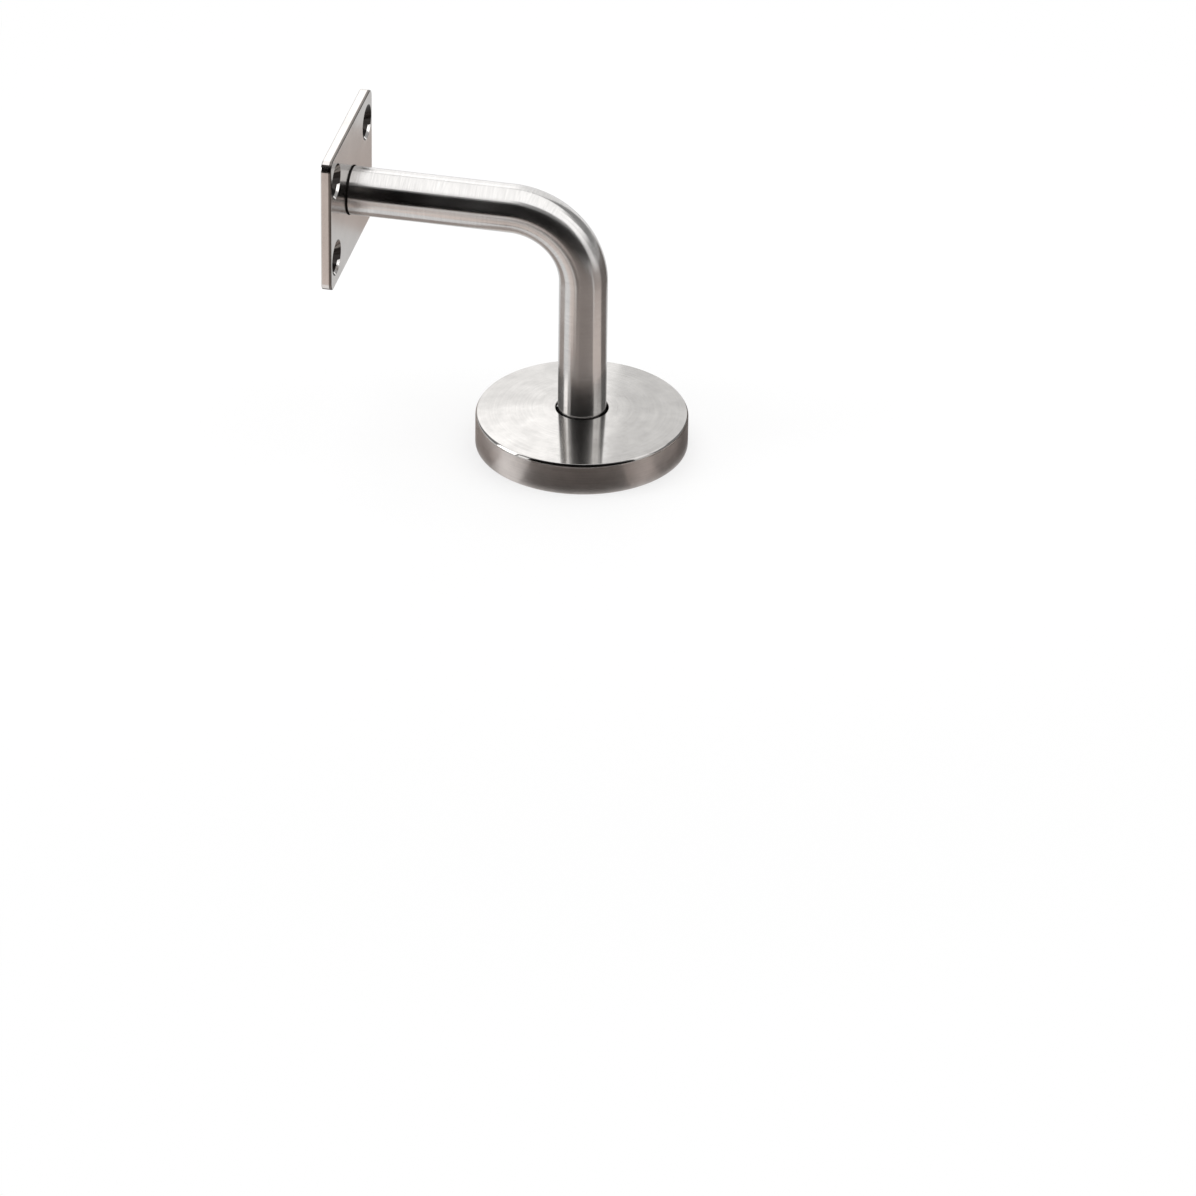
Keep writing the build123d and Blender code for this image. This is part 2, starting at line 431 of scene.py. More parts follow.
def bar_grid(sizes):
    """Circle carried along the bar's axis. At distance s from the foot the axis has turned by
    t = (s - first leg) / bend radius, held between 0 and 90 degrees. Its place is the bend radius
    times (cos t - 1) less what is left of s along X, and the first leg plus the bend radius times
    sin t along Z. A ring lies in the plane of (cos t, 0, sin t) and Y. Near each end the ring's
    radius follows a quarter circle, which rounds the end."""
    upright = sizes.axis_height - sizes.bend_radius - sizes.foot
    level_leg = sizes.reach - sizes.bend_radius
    arc = sizes.bend_radius * math.pi / 2
    total = upright + arc + level_leg
    even = np.linspace(sizes.end_round, total - sizes.end_round, sizes.rings)
    rounding = sizes.end_round * (1 - np.cos(np.linspace(0.0, math.pi / 2, 9)[:-1]))
    distance = np.concatenate([rounding, even, total - rounding[::-1]])
    bend = np.clip((distance - upright) / sizes.bend_radius, 0.0, math.pi / 2)
    centre_x = sizes.bend_radius * (np.cos(bend) - 1) - np.maximum(distance - upright - arc, 0.0)
    centre_z = sizes.foot + np.minimum(distance, upright) + sizes.bend_radius * np.sin(bend)
    from_end = np.minimum(np.minimum(distance, total - distance), sizes.end_round)
    shortfall = sizes.end_round - np.sqrt(sizes.end_round**2 - (sizes.end_round - from_end) ** 2)
    radius = (sizes.radius - shortfall)[:, None]
    turn = np.arange(sizes.sides) / sizes.sides
    angle = FULL_TURN * turn
    outward = radius * np.cos(angle)
    across = radius * np.sin(angle)
    x = centre_x[:, None] + outward * np.cos(bend)[:, None]
    z = centre_z[:, None] + outward * np.sin(bend)[:, None]
    points = np.stack([x, across, z], axis=-1)
    marks = np.stack([np.repeat(distance[:, None], sizes.sides, axis=1), outward, across], axis=-1)
    return points, distance, turn, marks


def arc_points(centre, radius, start, end, steps):
    """Points on a circle from one angle to another, at centre plus radius times (cos, sin)."""
    angle = np.linspace(start, end, steps + 1)
    return np.stack([centre[0] + radius * np.cos(angle), centre[1] + radius * np.sin(angle)], axis=-1)


def straight_points(start, end, steps):
    """Points on a straight line, closest together at its ends."""
    return np.stack([eased(start[0], end[0], steps), eased(start[1], end[1], steps)], axis=-1)


def edge_points(sizes, end_angle):
    """Broken edge of the cover's rim, from the rim to the crown: three arcs that touch each other. Each
    step goes on by the radius times the change of angle. The radius is the flat one between two angles
    above level, which looks like a small chamfer, and the round one beside it."""
    angle = np.linspace(0.0, end_angle, 49)
    middle = (angle[1:] + angle[:-1]) / 2
    flat = (middle > EDGE_FLAT_FROM) & (middle < EDGE_FLAT_TO)
    step = np.diff(angle) * np.where(flat, sizes.edge_flat, sizes.edge_round)
    inward = np.concatenate([[0.0], np.cumsum(step * np.sin(middle))])
    upward = np.concatenate([[0.0], np.cumsum(step * np.cos(middle))])
    return np.stack([sizes.radius - inward, upward], axis=-1)


def cover_outline(sizes, bar_radius):
    """Closed outline of the cover's wall as radius and height, from inside the rim's foot round to the
    rim, the crown, the bore, the ceiling and back. Crown and ceiling are arcs about one centre on the
    axis: its height is the crown's top less the crown's radius, which is (rim radius squared + rise
    squared) / twice the rise. Each corner is an arc that touches both of its neighbours."""
    crown = (sizes.radius**2 + sizes.crown_rise**2) / (2 * sizes.crown_rise)
    centre = sizes.rim_height + sizes.crown_rise - crown
    ceiling = crown - sizes.wall
    inner = sizes.radius - sizes.wall
    bore = bar_radius + sizes.bore_clearance
    foot, lip = sizes.foot_round, sizes.bore_round

    def above(radius, surface):
        return centre + math.sqrt(surface**2 - radius**2)

    def slope(radius, surface):
        return math.acos(radius / surface)

    lip_at = (bore + lip, above(bore + lip, crown - lip))
    low_lip_at = (bore + foot, above(bore + foot, ceiling + foot))
    corner_at = (inner - foot, above(inner - foot, ceiling - foot))
    broken = edge_points(sizes, slope(sizes.radius, crown))
    broken[:, 1] += above(broken[-1, 0], crown) - broken[-1, 1]
    edge_angle = slope(broken[-1, 0], crown)
    lip_angle = slope(lip_at[0], crown - lip)
    low_lip_angle = slope(low_lip_at[0], ceiling + foot)
    corner_angle = slope(corner_at[0], ceiling - foot)
    crown_angles = eased(edge_angle, lip_angle, 72)
    ceiling_angles = eased(low_lip_angle, corner_angle, 36)
    runs = [
        arc_points((inner + foot, foot), foot, math.pi, math.pi * 1.5, 4),
        arc_points((sizes.radius - foot, foot), foot, -math.pi / 2, 0.0, 6),
        straight_points((sizes.radius, foot), (sizes.radius, broken[0, 1]), 24),
        broken,
        np.stack([crown * np.cos(crown_angles), centre + crown * np.sin(crown_angles)], axis=-1),
        arc_points(lip_at, lip, lip_angle, math.pi, 10),
        straight_points((bore, lip_at[1]), (bore, low_lip_at[1]), 8),
        arc_points(low_lip_at, foot, math.pi, math.pi + low_lip_angle, 5),
        np.stack([ceiling * np.cos(ceiling_angles), centre + ceiling * np.sin(ceiling_angles)], axis=-1),
        arc_points(corner_at, foot, corner_angle, 0.0, 5),
        straight_points((inner, corner_at[1]), (inner, foot), 16),
    ]
    outline = np.concatenate(runs)
    apart = np.linalg.norm(outline - np.roll(outline, 1, axis=0), axis=1)
    return outline[apart > 1e-8]


def weld_grid(sizes, bar_radius, over_plate, along_bar):
    """Ring of weld about the Z axis, with the plate's face at z = 0. Its outline has two straight legs
    and a curve between the toes. At a share w of the way from the toe on the plate to the toe on the
    bar, the curve stands out by over_plate times (1 - w) plus a bulge, and up by along_bar times w
    plus the same bulge: the bulge is its share of that leg times 1 less the square of (2w - 1). Going
    round, the bulge sinks by a ripple: its depth times the square of the sine of half a phase, which
    is the ripple count times the angle plus a part that grows with the square of (2w - 1), so that
    ripples look like stacked crescents. The ripple dies out at both toes."""
    steps = 24
    way = np.linspace(0.0, 1.0, steps + 1)
    turn = np.arange(sizes.sides) / sizes.sides
    ripples = round(FULL_TURN * (bar_radius + over_plate / 2) / sizes.ripple_pitch)
    phase = FULL_TURN * ripples * turn[None, :] + sizes.crescent * (2 * way[:, None] - 1) ** 2
    wander = 0.6 * np.sin(3 * FULL_TURN * turn + 1.0) + 0.4 * np.sin(7 * FULL_TURN * turn + 2.0)
    fade = np.sin(math.pi * way)[:, None]
    ripple = sizes.ripple_share * np.sin(phase / 2) ** 2 + sizes.wander_share * (1 + wander[None, :])
    bulge = (sizes.bulge_share * (1 - (2 * way - 1) ** 2))[:, None] - fade * ripple
    out = over_plate * ((1 - way)[:, None] + bulge)
    up = along_bar * (way[:, None] + bulge)
    back = np.linspace(1.0, 0.0, 6)[1:-1]
    bar_side = np.stack([np.zeros(4), along_bar * back], axis=-1)
    plate_side = np.stack([over_plate * (1 - back), np.zeros(4)], axis=-1)
    corner = np.zeros((1, 2))
    hidden = np.concatenate([bar_side, corner, plate_side])[:, None, :].repeat(sizes.sides, axis=1)
    outline = np.concatenate([np.stack([out, up], axis=-1), hidden])
    angle = FULL_TURN * turn
    radius = bar_radius + outline[..., 0]
    points = np.stack([radius * np.cos(angle), radius * np.sin(angle), outline[..., 1]], axis=-1)
    along = np.arange(len(points)) * along_bar / steps
    return points, along, turn, points.copy()


# Finishes


def new_finish(name):
    """Empty node material with its shader and output."""
    material = bpy.data.materials.new(name)
    material.use_nodes = True
    tree = material.node_tree
    tree.nodes.clear()
    shader = tree.nodes.new("ShaderNodeBsdfPrincipled")
    output = tree.nodes.new("ShaderNodeOutputMaterial")
    tree.links.new(shader.outputs["BSDF"], output.inputs["Surface"])
    return material, tree, shader


def as_steel(shader, edge, roughness, stretch):
    """Sets the shader's own values for bare steel. The edge is the share of the reflection that is left
    at a flat angle, and the stretch widens highlights along the tangent."""
    shader.inputs["Metallic"].default_value = 1.0
    shader.inputs["Roughness"].default_value = roughness
    shader.inputs["Specular Tint"].default_value = (edge, edge, edge, 1.0)
    shader.inputs["Anisotropic"].default_value = stretch


def stretched_noise(tree, source, scale, size, detail):
    """Noise on coordinates that are stretched by a scale for each axis."""
    mapping = tree.nodes.new("ShaderNodeMapping")
    mapping.inputs["Scale"].default_value = scale
    noise = tree.nodes.new("ShaderNodeTexNoise")
    noise.inputs["Scale"].default_value = size
    noise.inputs["Detail"].default_value = detail
    noise.inputs["Roughness"].default_value = 0.6
    tree.links.new(source, mapping.inputs["Vector"])
    tree.links.new(mapping.outputs["Vector"], noise.inputs["Vector"])
    return noise.outputs["Fac"]


def between(tree, value, low, high):
    """Value from a noise, brought from its usual range to the range from low to high."""
    node = tree.nodes.new("ShaderNodeMapRange")
    node.inputs["From Min"].default_value = 0.3
    node.inputs["From Max"].default_value = 0.7
    node.inputs["To Min"].default_value = low
    node.inputs["To Max"].default_value = high
    tree.links.new(value, node.inputs["Value"])
    return node.outputs["Result"]


def colour_mix(tree, blend, first, second, factor=1.0):
    """Mix of two colours. Each colour and the factor is a fixed value or another node's output."""
    mix = tree.nodes.new("ShaderNodeMix")
    mix.data_type = "RGBA"
    mix.blend_type = blend
    for value, name in ((factor, "Factor"), (first, "A"), (second, "B")):
        socket = next(item for item in mix.inputs if item.name == name and item.enabled)
        if isinstance(value, bpy.types.NodeSocket):
            tree.links.new(value, socket)
        elif name == "Factor":
            socket.default_value = value
        else:
            socket.default_value = (*value, 1.0)
    return next(item for item in mix.outputs if item.enabled)


def shaded(tree, shade, tone):
    """Colour times a grey shade."""
    return colour_mix(tree, "MULTIPLY", tone, shade)


def math_node(tree, operation, first, second):
    """Sum of the given kind. The first number is a node's output, and the second that or a fixed one."""
    node = tree.nodes.new("ShaderNodeMath")
    node.operation = operation
    tree.links.new(first, node.inputs[0])
    if isinstance(second, bpy.types.NodeSocket):
        tree.links.new(second, node.inputs[1])
    else:
        node.inputs[1].default_value = second
    return node.outputs["Value"]


def inside_box(tree, source, low, high):
    """1 where a point lies between two corners on all three axes, and 0 elsewhere: the largest of the
    three distances from the box's middle, each less half the box's side, is below 0."""
    low, high = Vector(low), Vector(high)
    value = source
    steps = (("SUBTRACT", (low + high) / 2), ("ABSOLUTE", None), ("SUBTRACT", (high - low) / 2))
    for operation, amount in steps:
        node = tree.nodes.new("ShaderNodeVectorMath")
        node.operation = operation
        tree.links.new(value, node.inputs[0])
        if amount is not None:
            node.inputs[1].default_value = amount
        value = node.outputs["Vector"]
    split = tree.nodes.new("ShaderNodeSeparateXYZ")
    tree.links.new(value, split.inputs["Vector"])
    largest = math_node(tree, "MAXIMUM", split.outputs["X"], split.outputs["Y"])
    largest = math_node(tree, "MAXIMUM", largest, split.outputs["Z"])
    return math_node(tree, "LESS_THAN", largest, 0.0)


def outside_circle(tree, source, side, height, radius):
    """1 where a point is farther than the radius from an axis along X, and 0 elsewhere: the length of
    its Y and Z, less the axis's, is more than the radius."""
    value = source
    for operation, amount in (("SUBTRACT", (0.0, side, height)), ("MULTIPLY", (0.0, 1.0, 1.0))):
        node = tree.nodes.new("ShaderNodeVectorMath")
        node.operation = operation
        tree.links.new(value, node.inputs[0])
        node.inputs[1].default_value = amount
        value = node.outputs["Vector"]
    length_node = tree.nodes.new("ShaderNodeVectorMath")
    length_node.operation = "LENGTH"
    tree.links.new(value, length_node.inputs[0])
    return math_node(tree, "GREATER_THAN", length_node.outputs["Value"], radius)


def tool_bump(tree, shader, height, distance):
    """Fine relief on the shader's normal."""
    bump = tree.nodes.new("ShaderNodeBump")
    bump.inputs["Strength"].default_value = 1.0
    bump.inputs["Distance"].default_value = distance
    tree.links.new(height, bump.inputs["Height"])
    tree.links.new(bump.outputs["Normal"], shader.inputs["Normal"])


def along_tangent(tree, shader):
    """Turns the highlights' stretch along the unrolled map's first axis."""
    tangent = tree.nodes.new("ShaderNodeTangent")
    tangent.direction_type = "UV_MAP"
    tangent.uv_map = UNROLLED
    tree.links.new(tangent.outputs["Tangent"], shader.inputs["Tangent"])


def marks_source(tree):
    """The marks attribute: distance along the piece, and two coordinates round it."""
    node = tree.nodes.new("ShaderNodeAttribute")
    node.attribute_name = MARKS
    return node.outputs["Vector"]


def object_source(tree):
    """Object coordinates."""
    return tree.nodes.new("ShaderNodeTexCoord").outputs["Object"]


def polished_bar(finish):
    """Bar polished round its girth: fine rings of grinding marks, close together along the bar, and
    slight clouds."""
    material, tree, shader = new_finish("polished_bar_steel")
    as_steel(shader, finish.grazing_share, finish.bar_roughness, 0.8)
    source = marks_source(tree)
    rings = stretched_noise(tree, source, (1.0, 0.06, 0.06), 2600.0, 3.0)
    clouds = stretched_noise(tree, source, (1.0, 1.0, 1.0), 70.0, 2.0)
    tint = shaded(tree, between(tree, rings, 0.92, 1.06), finish.bar_colour)
    tint = shaded(tree, between(tree, clouds, 0.94, 1.04), tint)
    tree.links.new(tint, shader.inputs["Base Color"])
    rough = between(tree, clouds, finish.bar_roughness - 0.03, finish.bar_roughness + 0.04)
    tree.links.new(rough, shader.inputs["Roughness"])
    tool_bump(tree, shader, rings, 0.0000005)
    along_tangent(tree, shader)
    return material


def turned_cover(finish, sizes):
    """Cover from the lathe: rings of turning marks on the crown, and a darker brushed rim."""
    material, tree, shader = new_finish("turned_cover_steel")
    as_steel(shader, finish.grazing_share, finish.crown_roughness, 0.9)
    source = marks_source(tree)
    rings = stretched_noise(tree, source, (1.0, 0.03, 0.03), 2400.0, 3.0)
    brush = stretched_noise(tree, source, (1.0, 0.12, 0.12), 1500.0, 4.0)
    clouds = stretched_noise(tree, object_source(tree), (1.0, 1.0, 1.0), 140.0, 3.0)
    split = tree.nodes.new("ShaderNodeSeparateXYZ")
    tree.links.new(object_source(tree), split.inputs["Vector"])
    rim = tree.nodes.new("ShaderNodeMapRange")
    rim.inputs["From Min"].default_value = sizes.rim_height - 0.6 * sizes.edge_flat
    rim.inputs["From Max"].default_value = sizes.rim_height - 0.5 * sizes.edge_flat
    rim.inputs["To Min"].default_value = 1.0
    rim.inputs["To Max"].default_value = 0.0
    tree.links.new(split.outputs["Z"], rim.inputs["Value"])
    tint = colour_mix(tree, "MIX", finish.crown_colour, finish.rim_colour, rim.outputs["Result"])
    tint = shaded(tree, between(tree, rings, 0.93, 1.05), tint)
    tint = shaded(tree, between(tree, clouds, 0.88, 1.07), tint)
    tree.links.new(tint, shader.inputs["Base Color"])
    rough = tree.nodes.new("ShaderNodeMix")
    rough.data_type = "FLOAT"
    rough.inputs["A"].default_value = finish.crown_roughness
    rough.inputs["B"].default_value = finish.rim_roughness
    tree.links.new(rim.outputs["Result"], rough.inputs["Factor"])
    uneven = math_node(tree, "MULTIPLY", rough.outputs["Result"], between(tree, brush, 0.88, 1.14))
    tree.links.new(uneven, shader.inputs["Roughness"])
    tool_bump(tree, shader, rings, 0.0000005)
    along_tangent(tree, shader)
    return material


def satin_plate(finish):
    """Plate with a fine satin grain that runs across it, and slight clouds. The countersinks and holes,
    which are all that lies inside a box a little smaller than the plate, are painted dark, as painted shade
    and dark reflection. The two near ones are painted lighter above their middle, as painted light, and each
    has a painted highlight low on its rim. A narrow band of the plate's edges, next to the face on the bar's
    side, is painted darker than the plate, as a painted dark reflection."""
    material, tree, shader = new_finish("satin_plate_steel")
    as_steel(shader, finish.plate_grazing_share, finish.plate_roughness, 0.0)
    source = object_source(tree)
    grain = stretched_noise(tree, source, (1.0, 0.05, 1.0), 1800.0, 3.0)
    clouds = stretched_noise(tree, source, (1.0, 1.0, 1.0), 90.0, 3.0)
    margin = Vector((0.00004, 0.0006, 0.0006))
    # Painted shade: the countersinks and holes are painted dark, as the shade and dark reflection in them
    sinks = inside_box(tree, source, plate_low + margin, plate_high - margin)
    face = plate_high.x
    # Painted dark reflection on a narrow band of the plate's edges, next to the face on the bar's side
    edges = inside_box(tree, source, (face - EDGE_BAND, -FAR, 0.0), (face - EDGE_BAND_MARGIN, FAR, FAR))
    dark = math_node(tree, "MAXIMUM", sinks, edges)
    tint = colour_mix(tree, "MIX", finish.plate_colour, finish.edge_shade_colour, dark)
    tint = colour_mix(tree, "MIX", tint, finish.sink_shade_colour, sinks)
    # Painted light on the near countersinks' upper part, and a painted highlight low on each rim
    for side, height in SINK_PLACES:
        far_side = side + SINK_REACH
        if side < 0:
            low = (-FAR, side - SINK_REACH, height + SINK_TOP_START)
            high = (FAR, far_side, height + SINK_REACH)
            top = math_node(tree, "MULTIPLY", inside_box(tree, source, low, high), sinks)
            tint = colour_mix(tree, "MIX", tint, finish.sink_top_light_colour, top)
        # Painted highlight: a bright part painted low on each countersink's rim
        low = (-FAR, side - GLINT_START, height - SINK_REACH)
        high = (FAR, far_side, height - GLINT_DEPTH)
        part = inside_box(tree, source, low, high)
        rim = math_node(tree, "MULTIPLY", part, outside_circle(tree, source, side, height, GLINT_RADIUS))
        glint = math_node(tree, "MULTIPLY", rim, sinks)
        tint = colour_mix(tree, "MIX", tint, finish.sink_glint_highlight_colour, glint)
    tint = shaded(tree, between(tree, grain, 0.96, 1.03), tint)
    tint = shaded(tree, between(tree, clouds, 0.93, 1.04), tint)
    tree.links.new(tint, shader.inputs["Base Color"])
    rough = between(tree, grain, finish.plate_roughness - 0.02, finish.plate_roughness + 0.04)
    tree.links.new(rough, shader.inputs["Roughness"])
    tool_bump(tree, shader, grain, 0.0000012)
    return material


def weld_metal(name, tone, roughness):
    """Weld metal with patches of heat tint and a little scale. The flange weld's tone is its own, and the
    saddle weld's near-black tone is painted shade in its joint.
    """
    material, tree, shader = new_finish(name)
    shader.inputs["Metallic"].default_value = 1.0
    shader.inputs["Specular Tint"].default_value = (*tone, 1.0)
    source = object_source(tree)
    scale = stretched_noise(tree, source, (1.0, 1.0, 1.0), 900.0, 4.0)
    heat = stretched_noise(tree, source, (1.0, 1.0, 1.0), 260.0, 2.0)
    tint = shaded(tree, between(tree, heat, 0.7, 1.35), tone)
    tree.links.new(tint, shader.inputs["Base Color"])
    tree.links.new(between(tree, scale, roughness - 0.08, roughness + 0.08), shader.inputs["Roughness"])
    tool_bump(tree, shader, scale, 0.00001)
    return material


def plain_flange(finish):
    """Flange as it comes from the mill: matt grey with straight roll marks."""
    material, tree, shader = new_finish("plain_flange_steel")
    as_steel(shader, finish.grazing_share, 0.42, 0.0)
    source = object_source(tree)
    roll = stretched_noise(tree, source, (0.08, 1.0, 1.0), 1300.0, 4.0)
    blotch = stretched_noise(tree, source, (1.0, 1.0, 1.0), 120.0, 4.0)
    tint = shaded(tree, between(tree, blotch, 0.86, 1.06), finish.flange_colour)
    tree.links.new(tint, shader.inputs["Base Color"])
    tree.links.new(between(tree, roll, 0.36, 0.5), shader.inputs["Roughness"])
    tool_bump(tree, shader, roll, 0.000004)
    return material


def finish_node(node, material):
    """Gives a CAD node its finish."""
    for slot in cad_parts[node].material_slots:
        slot.material = material


# Studio


def aim(obj, place, target):
    """Puts a lamp at a place and points it at a target."""
    obj.location = place
    obj.rotation_euler = (Vector(target) - Vector(place)).to_track_quat("-Z", "Y").to_euler()


def panel_lamp(name, place, target, width, height, brightness):
    """Rectangular lamp whose face has a given brightness: power is brightness times pi times its area."""
    lamp = bpy.data.lights.new(name, "AREA")
    lamp.shape = "RECTANGLE"
    lamp.size = width
    lamp.size_y = height
    lamp.energy = brightness * math.pi * width * height
    obj = bpy.data.objects.new(name, lamp)
    bpy.context.scene.collection.objects.link(obj)
    aim(obj, place, target)
    obj.visible_camera = False
    return obj


def flat_card(name, corners, material):
    """Flat sheet with the given corners."""
    mesh = bpy.data.meshes.new(name)
    mesh.from_pydata(corners, [], [tuple(range(len(corners)))])
    mesh.materials.append(material)
    card = bpy.data.objects.new(name, mesh)
    bpy.context.scene.collection.objects.link(card)
    return card


def floor_paint(studio):
    """Matt white paint with the faintest unevenness. The camera and polished metal see it as plain
    white far from the bracket, and mixed with its own shading, and so with the shadow, near it."""
    material = bpy.data.materials.new("floor_paint")
    material.use_nodes = True
    tree = material.node_tree
    shader = tree.nodes["Principled BSDF"]
    shader.inputs["Roughness"].default_value = 1.0
    shader.inputs["Specular IOR Level"].default_value = 0.0
    clouds = stretched_noise(tree, object_source(tree), (1.0, 1.0, 1.0), 3.0, 2.0)
    tint = shaded(tree, between(tree, clouds, 0.99, 1.0), studio.floor_colour)
    tree.links.new(tint, shader.inputs["Base Color"])
    white = tree.nodes.new("ShaderNodeEmission")
    white.inputs["Strength"].default_value = 1.0
    distance = tree.nodes.new("ShaderNodeVectorMath")
    distance.operation = "LENGTH"
    tree.links.new(object_source(tree), distance.inputs[0])
    share_white = tree.nodes.new("ShaderNodeMapRange")
    share_white.interpolation_type = "SMOOTHSTEP"
    share_white.inputs["From Min"].default_value = studio.shadow_reach
    share_white.inputs["From Max"].default_value = 3 * studio.shadow_reach
    share_white.inputs["To Min"].default_value = 1.0 - studio.shadow_share
    share_white.inputs["To Max"].default_value = 1.0
    tree.links.new(distance.outputs["Value"], share_white.inputs["Value"])
    path = tree.nodes.new("ShaderNodeLightPath")
    seen = math_node(tree, "MAXIMUM", path.outputs["Is Camera Ray"], path.outputs["Is Glossy Ray"])
    mix = tree.nodes.new("ShaderNodeMixShader")
    tree.links.new(math_node(tree, "MULTIPLY", share_white.outputs["Result"], seen), mix.inputs["Fac"])
    tree.links.new(shader.outputs["BSDF"], mix.inputs[1])
    tree.links.new(white.outputs["Emission"], mix.inputs[2])
    tree.links.new(mix.outputs["Shader"], tree.nodes["Material Output"].inputs["Surface"])
    return material


def matt_card(name, grey):
    """Matt warm grey card or cloth."""
    material = bpy.data.materials.new(name)
    material.use_nodes = True
    shader = material.node_tree.nodes["Principled BSDF"]
    shader.inputs["Base Color"].default_value = (grey, 0.88 * grey, 0.82 * grey, 1.0)
    shader.inputs["Roughness"].default_value = 1.0
    shader.inputs["Specular IOR Level"].default_value = 0.0
    return material


def hide_from_camera(card):
    """Leaves a card to be seen in polished metal only, so that it takes no light from the floor."""
    card.visible_camera = False
    card.visible_diffuse = False
    card.visible_shadow = False


def direction(studio, turn):
    """Level direction at a turn in degrees from the camera, to the picture's right."""
    angle = studio.azimuth + math.radians(turn)
    return Vector((math.sin(angle), -math.cos(angle), 0.0))


def lamp_level(studio, name):
    """Brightness setting that goes with a lamp's name."""
    return getattr(studio, name.replace("lamp", "level"))


def ceiling_lamp(name, left, right, front, brightness):
    """Lamp overhead that shines straight down. It reaches from one place to another along X, and along
    Y from its front to the back that all lamps overhead share."""
    centre = Vector(((left + right) / 2, (front + CEILING_BACK) / 2, CEILING_HEIGHT))
    below = centre * Vector((1, 1, 0))
    return panel_lamp(name, centre, below, right - left, CEILING_BACK - front, brightness)


def back_lamp(name, left, right, low, high, brightness):
    """Upright lamp behind the bracket, between two places along X and two heights."""
    centre = Vector(((left + right) / 2, BACK_LAMPS_Y, (low + high) / 2))
    return panel_lamp(name, centre, centre * Vector((1, 0, 1)), right - left, high - low, brightness)


def side_lamp(name, studio, turn, spread, low, high, brightness):
    """Upright lamp beside the bracket, which covers a spread of directions between two heights."""
    middle = Vector((0.0, 0.0, (low + high) / 2))
    place = direction(studio, turn) * SIDE_LAMPS_DISTANCE + middle
    width = 2 * SIDE_LAMPS_DISTANCE * math.tan(math.radians(spread / 2))
    return panel_lamp(name, place, middle, width, high - low, brightness)


def sector_card(name, studio, start, end, near, far, material):
    """Card on the floor between two directions and two distances from the cover's axis."""
    turns = np.linspace(start, end, 25)
    height = Vector((0.0, 0.0, CARD_HEIGHT))
    inner = [direction(studio, turn) * near + height for turn in turns]
    outer = [direction(studio, turn) * far + height for turn in turns]
    return flat_card(name, inner + outer[::-1], material)


def surroundings(studio):
    """Room round the studio, at one even level."""
    world = bpy.data.worlds.new("surroundings")
    bpy.context.scene.world = world
    world.use_nodes = True
    world.node_tree.nodes["Background"].inputs["Color"].default_value = (1.0, 1.0, 1.0, 1.0)
    world.node_tree.nodes["Background"].inputs["Strength"].default_value = studio.sky_level


def place_camera(studio):
    """Camera at the photograph's angle. Back points from the target to the camera, and the picture's
    right and up are turned by the roll."""
    azimuth, elevation, roll = studio.azimuth, studio.elevation, studio.roll
    level = math.cos(elevation)
    back = Vector((math.sin(azimuth) * level, -math.cos(azimuth) * level, math.sin(elevation)))
    level_right = back.cross(Vector((0, 0, -1))).normalized()
    level_up = back.cross(level_right)
    right = math.cos(roll) * level_right + math.sin(roll) * level_up
    up = math.cos(roll) * level_up - math.sin(roll) * level_right
    target = Vector((studio.target_x, 0.0, studio.target_z))
    data = bpy.data.cameras.new("camera")
    data.lens = studio.focal_length
    data.clip_end = 100.0
    camera = bpy.data.objects.new("camera", data)
    bpy.context.scene.collection.objects.link(camera)
    turned = Matrix((right, up, back)).transposed().to_4x4()
    camera.matrix_world = Matrix.Translation(target + back * studio.distance) @ turned
    bpy.context.scene.camera = camera


# Operators


class BRACKET_OT_bar(bpy.types.Operator):
    """Builds the bent bar"""

    bl_idname = "bracket.bar"
    bl_label = "Bent bar"

    def execute(self, context):
        settings = context.scene.bracket
        mesh = swept_mesh("bent_bar", *bar_grid(settings.bar), False)
        add_piece(mesh, "bracket", "polished_bar", polished_bar(settings.finish), "bent_arm")
        return {"FINISHED"}


class BRACKET_OT_cover(bpy.types.Operator):
    """Builds the turned cover"""

    bl_idname = "bracket.cover"
    bl_label = "Turned cover"

    def execute(self, context):
        settings = context.scene.bracket
        outline = cover_outline(settings.cover, settings.bar.radius)
        mesh = swept_mesh("turned_rose", *turned_grid(outline, settings.cover.sides), True)
        add_piece(mesh, "cover", "turned_cover", turned_cover(settings.finish, settings.cover), "cover_rose")
        return {"FINISHED"}


class BRACKET_OT_welds(bpy.types.Operator):
    """Builds the two weld runs, at the saddle plate and on the flange"""

    bl_idname = "bracket.welds"
    bl_label = "Weld runs"

    def execute(self, context):
        settings = context.scene.bracket
        bar = settings.bar
        finish = settings.finish
        over_plate = flange_weld_high.x - bar.radius
        along_bar = flange_weld_high.z - flange_weld_low.z
        points, along, turn, marks = weld_grid(settings.weld, bar.radius, over_plate, along_bar)
        points = points + np.array([0.0, 0.0, bar.foot])
        mesh = swept_mesh("flange_weld_run", points, along, turn, marks, True)
        metal = weld_metal("flange_weld_metal", finish.weld_colour, 0.34)
        add_piece(mesh, "bracket", "weld_metal", metal, "flange_weld_bead")
        over_plate = saddle_weld_high.y - bar.radius
        along_bar = saddle_weld_high.x - saddle_weld_low.x
        points, along, turn, marks = weld_grid(settings.weld, bar.radius, over_plate, along_bar)
        points = np.stack(
            [points[..., 2] - bar.reach, points[..., 0], points[..., 1] + bar.axis_height], axis=-1
        )
        mesh = swept_mesh("saddle_weld_run", points, along, turn, marks, True)
        # The saddle weld's near-black tone is painted shade in the joint
        metal = weld_metal("weld_metal_painted_shade", finish.joint_shade_colour, 0.5)
        add_piece(mesh, "bracket", "weld_metal", metal, "saddle_weld_bead")
        return {"FINISHED"}


class BRACKET_OT_plates(bpy.types.Operator):
    """Gives the saddle plate and the wall flange their finishes"""

    bl_idname = "bracket.plates"
    bl_label = "Saddle plate and flange"

    def execute(self, context):
        finish = context.scene.bracket.finish
        finish_node("saddle_plate", satin_plate(finish))
        finish_node("wall_flange", plain_flange(finish))
        return {"FINISHED"}


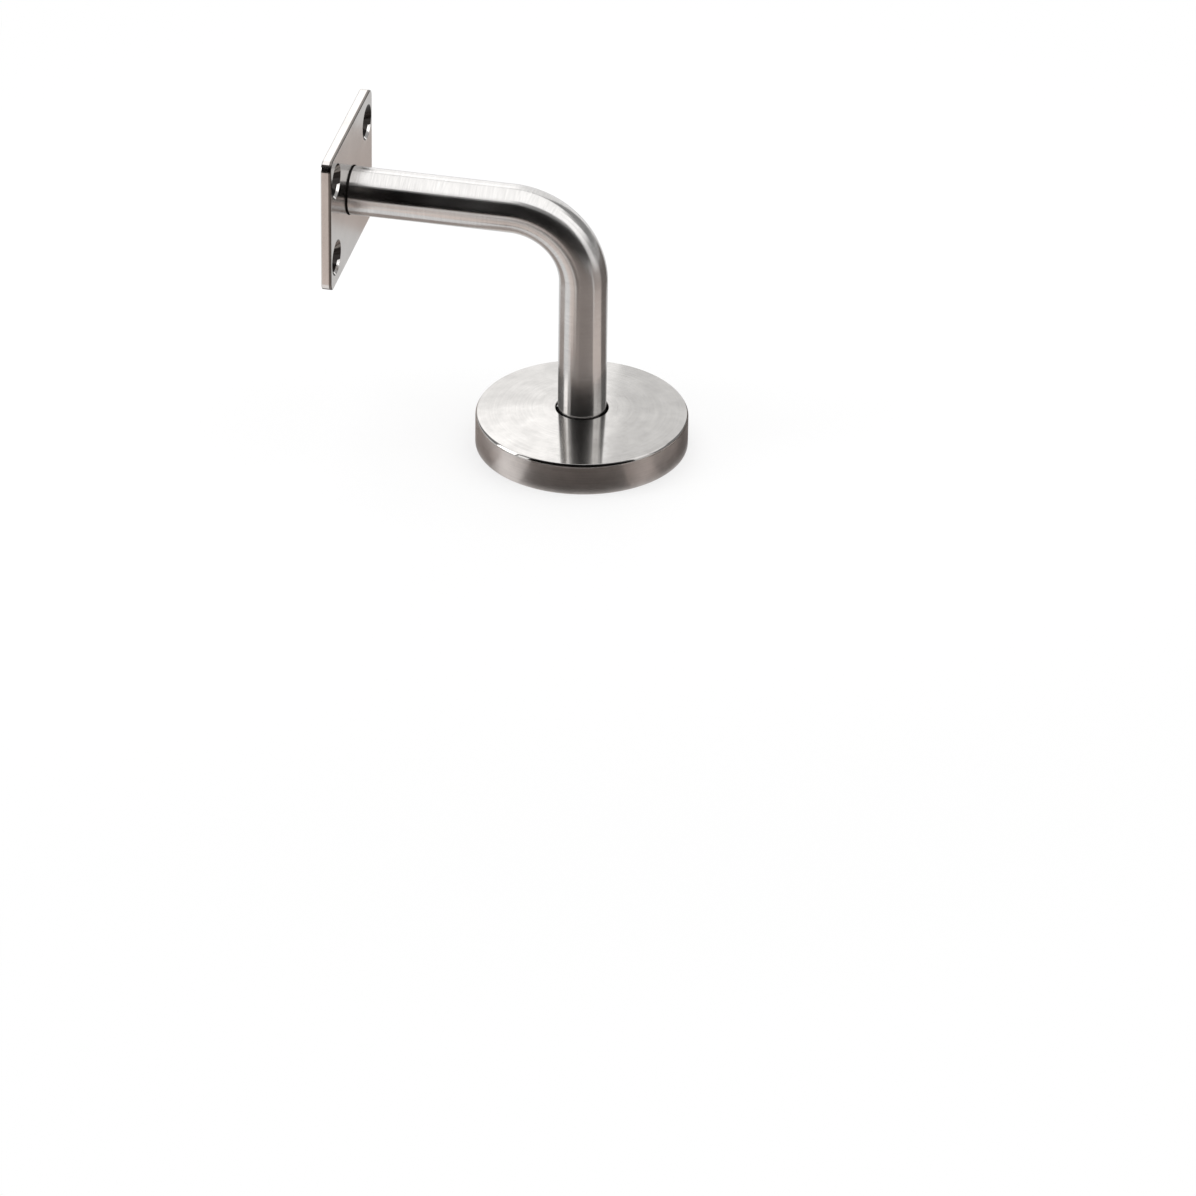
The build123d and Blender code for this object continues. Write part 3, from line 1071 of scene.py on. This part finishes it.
class BRACKET_OT_studio(bpy.types.Operator):
    """Sets up the floor, the lamps, the surroundings and the camera"""

    bl_idname = "bracket.studio"
    bl_label = "Studio"

    def execute(self, context):
        studio = context.scene.bracket.studio
        half = studio.floor_size / 2
        square = ((-half, -half), (half, -half), (half, half), (-half, half))
        flat_card("floor", [(x, y, FLOOR_HEIGHT) for x, y in square], floor_paint(studio))
        for name, left, right, front in CEILING_LAMPS:
            ceiling_lamp(name, left, right, front, studio.ceiling_level)
        for name, left, right, low, high in BACK_LAMPS:
            back_lamp(name, left, right, low, high, lamp_level(studio, name))
        for name, turn, spread, low, high in SIDE_LAMPS:
            side_lamp(name, studio, turn, spread, low, high, lamp_level(studio, name))
        cloth = matt_card("black_cloth", CLOTH_GREY)
        hide_from_camera(flat_card("front_cloth", [(x, y, CLOTH_HEIGHT) for x, y in CLOTH_CORNERS], cloth))
        side, top = STAGE_SIDE, FLAG_HEIGHT
        upright = ((-side, 0.0), (side, 0.0), (side, top), (-side, top))
        hide_from_camera(flat_card("front_flag", [(x, FLAG_Y, z) for x, z in upright], cloth))
        for name, start, end, near, far, grey in CARDS:
            paper = matt_card(name + "_paper", grey)
            hide_from_camera(sector_card(name, studio, start, end, near, far, paper))
        surroundings(studio)
        place_camera(studio)
        context.scene.view_settings.view_transform = "Standard"
        return {"FINISHED"}


class BRACKET_PT_panel(bpy.types.Panel):
    """Lists the bracket's pieces and the studio"""

    bl_idname = "BRACKET_PT_panel"
    bl_label = "Handrail bracket"
    bl_space_type = "VIEW_3D"
    bl_region_type = "UI"
    bl_category = "Bracket"

    def draw(self, context):
        for operator in operators:
            self.layout.operator(operator.bl_idname)
        settings = context.scene.bracket
        for group in (settings.bar, settings.cover, settings.weld, settings.finish, settings.studio):
            box = self.layout.box()
            for name in group.__annotations__:
                box.prop(group, name)


operators = (BRACKET_OT_bar, BRACKET_OT_cover, BRACKET_OT_welds, BRACKET_OT_plates, BRACKET_OT_studio)
groups = (BarSizes, CoverSizes, WeldSizes, Finishes, StudioSizes, BracketSettings)
classes = (*groups, *operators, BRACKET_PT_panel)


def register():
    """Makes the classes and the settings known."""
    for item in classes:
        bpy.utils.register_class(item)
    bpy.types.Scene.bracket = bpy.props.PointerProperty(type=BracketSettings)


def unregister():
    """Takes the classes and the settings away again."""
    del bpy.types.Scene.bracket
    for item in reversed(classes):
        bpy.utils.unregister_class(item)


def main():
    """Builds everything."""
    register()
    bpy.ops.bracket.bar()
    bpy.ops.bracket.cover()
    bpy.ops.bracket.welds()
    bpy.ops.bracket.plates()
    bpy.ops.bracket.studio()


if __name__ == "__main__":
    main()
